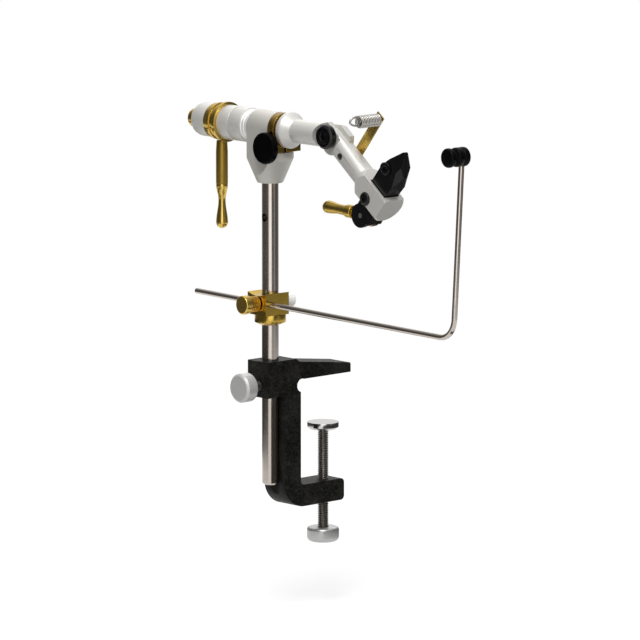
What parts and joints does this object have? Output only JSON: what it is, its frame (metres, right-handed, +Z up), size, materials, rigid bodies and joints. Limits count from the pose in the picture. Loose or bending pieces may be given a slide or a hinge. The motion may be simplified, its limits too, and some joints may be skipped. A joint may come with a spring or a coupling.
{
  "type": "fly tying vise",
  "caption": "Rotary fly tying vise on a C-clamp, with a crank handle, a hinged arm, a cam-closed jaw, a material clip and a bobbin cradle on the stem.",
  "frame": {"origin": "where the clamp screw's axis meets the underside of the clamp's upper arm, the face that rests on the table", "axes": "+Z up along the stem, +X into the table along the clamp's arms, -Y the way the jaws reach, +Y towards the crank"},
  "size_m": [0.0856, 0.2426, 0.2569],
  "materials": {
    "cast_black": "black textured coating on cast iron",
    "polished_steel": "bright turned and polished steel",
    "satin_silver": "satin turned, slightly warm",
    "stainless": "centreless-ground bar, dark reflections with a bright streak",
    "brass": "polished",
    "bronze": "sintered bronze, plain",
    "gloss_black": "glossy black moulding",
    "white_nylon": "natural nylon, slightly translucent",
    "black_rubber": "smooth black rubber",
    "black_satin_steel": "hardened steel with a black satin finish",
    "black_oxide": "black oxide",
    "spring_steel": "bright drawn wire"
  },
  "bodies": {
    "clamp": {"clamp_frame": "cast_black"},
    "clamp_screw": {"clamp_screw": "polished_steel"},
    "clamp_knob": {"clamp_knob": "satin_silver"},
    "clamp_pad": {"clamp_pad": "polished_steel", "pad_retainer": "polished_steel"},
    "lock_stud": {"stem_lock_stud": "polished_steel"},
    "lock_knob": {"stem_lock_knob": "satin_silver"},
    "stem": {"stem": "stainless"},
    "cradle_collar": {"cradle_collar": "brass", "collar_set_screw": "black_oxide"},
    "cradle_block": {"cradle_block": "brass"},
    "cradle_stud": {"cradle_stud": "brass"},
    "cradle_knob": {"cradle_knob": "brass"},
    "nylon_stud": {"nylon_stud": "white_nylon"},
    "nylon_knob": {"nylon_knob": "white_nylon"},
    "cradle_rod": {"cradle_rod": "stainless"},
    "bobbin_rest": {"bobbin_rest": "black_rubber"},
    "head": {"head_block": "satin_silver", "head_set_screw": "black_oxide", "front_bush": "bronze", "rear_bush": "bronze", "brake_block": "brass"},
    "brake_stud": {"brake_stud": "polished_steel"},
    "brake_knob": {"brake_knob": "gloss_black"},
    "spindle": {"spindle": "satin_silver", "polished_ring": "polished_steel", "rear_collar": "satin_silver", "rear_set_screw": "black_oxide", "crank_ring": "brass", "crank_pin": "polished_steel", "tail_cap": "satin_silver"},
    "crank_handle": {"crank_sleeve": "brass", "crank_grip": "brass"},
    "tail_stud": {"tail_stud": "brass"},
    "tail_knob": {"tail_knob": "brass"},
    "knuckle_stud": {"knuckle_stud": "polished_steel"},
    "knuckle_knob": {"knuckle_knob": "gloss_black"},
    "arm": {"jaw_arm": "satin_silver", "jaw_pivot_screws": "black_oxide", "jaw_spring": "spring_steel", "clip_screw": "polished_steel"},
    "jaw_near": {"jaw_near": "black_satin_steel", "jaw_adjust_screw": "black_oxide"},
    "jaw_far": {"jaw_far": "black_satin_steel"},
    "cam_lever": {"cam_pin": "polished_steel", "cam_hub": "brass", "cam_handle": "brass"},
    "material_clip": {"clip_strip": "brass", "clip_spring": "spring_steel"}
  },
  "joints": [
    {"name": "clamp_travel", "type": "slide", "parent": "clamp", "child": "clamp_screw", "axis": [0, 0, 1], "range_m": [-0.02, 0.015]},
    {"name": "clamp_turn", "type": "hinge", "parent": "clamp_screw", "child": "clamp_knob", "pos_m": [0, 0, -0.093], "axis": [0, 0, 1], "range_deg": [-5669.29, 4251.97]},
    {"name": "pad_tilt", "type": "hinge", "parent": "clamp_screw", "child": "clamp_pad", "pos_m": [0, 0, -0.0303], "axis": [0, 1, 0], "range_deg": [-6, 6]},
    {"name": "stem_lock_travel", "type": "slide", "parent": "clamp", "child": "lock_stud", "axis": [1, 0, 0], "range_m": [-0.003, 0]},
    {"name": "stem_lock_turn", "type": "hinge", "parent": "lock_stud", "child": "lock_knob", "pos_m": [-0.0621, 0, -0.0017], "axis": [1, 0, 0], "range_deg": [-850.39, 0]},
    {"name": "stem_height", "type": "slide", "parent": "clamp", "child": "stem", "axis": [0, 0, 1], "range_m": [-0.01, 0.045]},
    {"name": "cradle_height", "type": "slide", "parent": "stem", "child": "cradle_collar", "axis": [0, 0, 1], "range_m": [-0.008, 0.009]},
    {"name": "cradle_swing", "type": "hinge", "parent": "cradle_collar", "child": "cradle_block", "pos_m": [-0.0406, 0, 0.045], "axis": [0, 0, 1], "continuous": true},
    {"name": "cradle_lock_travel", "type": "slide", "parent": "cradle_block", "child": "cradle_stud", "axis": [0.9976, -0.0698, 0], "range_m": [-0.0014, 0]},
    {"name": "cradle_lock_turn", "type": "hinge", "parent": "cradle_stud", "child": "cradle_knob", "pos_m": [-0.05856, 0.00126, 0.04515], "axis": [0.9976, -0.0698, 0], "range_deg": [-720, 0]},
    {"name": "nylon_travel", "type": "slide", "parent": "cradle_block", "child": "nylon_stud", "axis": [-0.9976, 0.0698, 0], "range_m": [-0.0014, 0]},
    {"name": "nylon_turn", "type": "hinge", "parent": "nylon_stud", "child": "nylon_knob", "pos_m": [-0.02963, -0.00077, 0.04515], "axis": [-0.9976, 0.0698, 0], "range_deg": [-720, 0]},
    {"name": "rod_reach", "type": "slide", "parent": "cradle_block", "child": "cradle_rod", "axis": [-0.0698, -0.9976, 0], "range_m": [-0.04, 0.03]},
    {"name": "rest_turn", "type": "hinge", "parent": "cradle_rod", "child": "bobbin_rest", "pos_m": [-0.05974, -0.17333, 0.1447], "axis": [-0.0045, -0.0644, 0.9979], "continuous": true},
    {"name": "head_swivel", "type": "hinge", "parent": "stem", "child": "head", "pos_m": [-0.0406, 0, 0.125], "axis": [0, 0, 1], "continuous": true},
    {"name": "brake_travel", "type": "slide", "parent": "head", "child": "brake_stud", "axis": [1, 0, 0], "range_m": [-0.001, 0]},
    {"name": "brake_turn", "type": "hinge", "parent": "brake_stud", "child": "brake_knob", "pos_m": [-0.0531, -0.00977, 0.1342], "axis": [1, 0, 0], "range_deg": [-720, 0]},
    {"name": "rotary_spin", "type": "hinge", "parent": "head", "child": "spindle", "pos_m": [-0.0406, 0, 0.1439], "axis": [0, 1, 0], "continuous": true},
    {"name": "crank_grip_turn", "type": "hinge", "parent": "spindle", "child": "crank_handle", "pos_m": [-0.0406, 0.04038, 0.1139], "axis": [0, 0, 1], "continuous": true},
    {"name": "tail_travel", "type": "slide", "parent": "spindle", "child": "tail_stud", "axis": [0, -1, 0], "range_m": [-0.0028, 0]},
    {"name": "tail_turn", "type": "hinge", "parent": "tail_stud", "child": "tail_knob", "pos_m": [-0.0406, 0.0605, 0.1439], "axis": [0, -1, 0], "range_deg": [-1260, 0]},
    {"name": "knuckle_travel", "type": "slide", "parent": "spindle", "child": "knuckle_stud", "axis": [1, 0, 0], "range_m": [-0.0016, 0]},
    {"name": "knuckle_turn", "type": "hinge", "parent": "knuckle_stud", "child": "knuckle_knob", "pos_m": [-0.0464, -0.0517, 0.1439], "axis": [1, 0, 0], "range_deg": [-720, 0]},
    {"name": "arm_tilt", "type": "hinge", "parent": "spindle", "child": "arm", "pos_m": [-0.0406, -0.0517, 0.1439], "axis": [1, 0, 0], "range_deg": [-35, 15]},
    {"name": "cam_lever", "type": "hinge", "parent": "arm", "child": "cam_lever", "pos_m": [-0.0406, -0.0786, 0.10259], "axis": [1, 0, 0], "range_deg": [-80, 0]},
    {"name": "jaw_near_rock", "type": "hinge", "parent": "arm", "child": "jaw_near", "pos_m": [-0.0406, -0.08709, 0.1113], "axis": [0, -0.7815, -0.6239], "range_deg": [0, 1.7]},
    {"name": "jaw_far_rock", "type": "hinge", "parent": "arm", "child": "jaw_far", "pos_m": [-0.0406, -0.08709, 0.1113], "axis": [0, -0.7815, -0.6239], "range_deg": [-1.7, 0]},
    {"name": "clip_swing", "type": "hinge", "parent": "arm", "child": "material_clip", "pos_m": [-0.0406, -0.06363, 0.134], "axis": [1, 0, 0], "range_deg": [-15, 15]}
  ],
  "couplings": [
    {"joint": "clamp_turn", "follows": "clamp_travel", "rad_per_m": 4947.4},
    {"joint": "stem_lock_turn", "follows": "stem_lock_travel", "rad_per_m": 4947.4},
    {"joint": "cradle_lock_turn", "follows": "cradle_lock_travel", "rad_per_m": 8976},
    {"joint": "nylon_turn", "follows": "nylon_travel", "rad_per_m": 8976},
    {"joint": "brake_turn", "follows": "brake_travel", "rad_per_m": 12566},
    {"joint": "tail_turn", "follows": "tail_travel", "rad_per_m": 7854},
    {"joint": "knuckle_turn", "follows": "knuckle_travel", "rad_per_m": 7854},
    {"joint": "jaw_near_rock", "follows": "cam_lever", "ratio": -0.02},
    {"joint": "jaw_far_rock", "follows": "cam_lever", "ratio": 0.02}
  ]
}
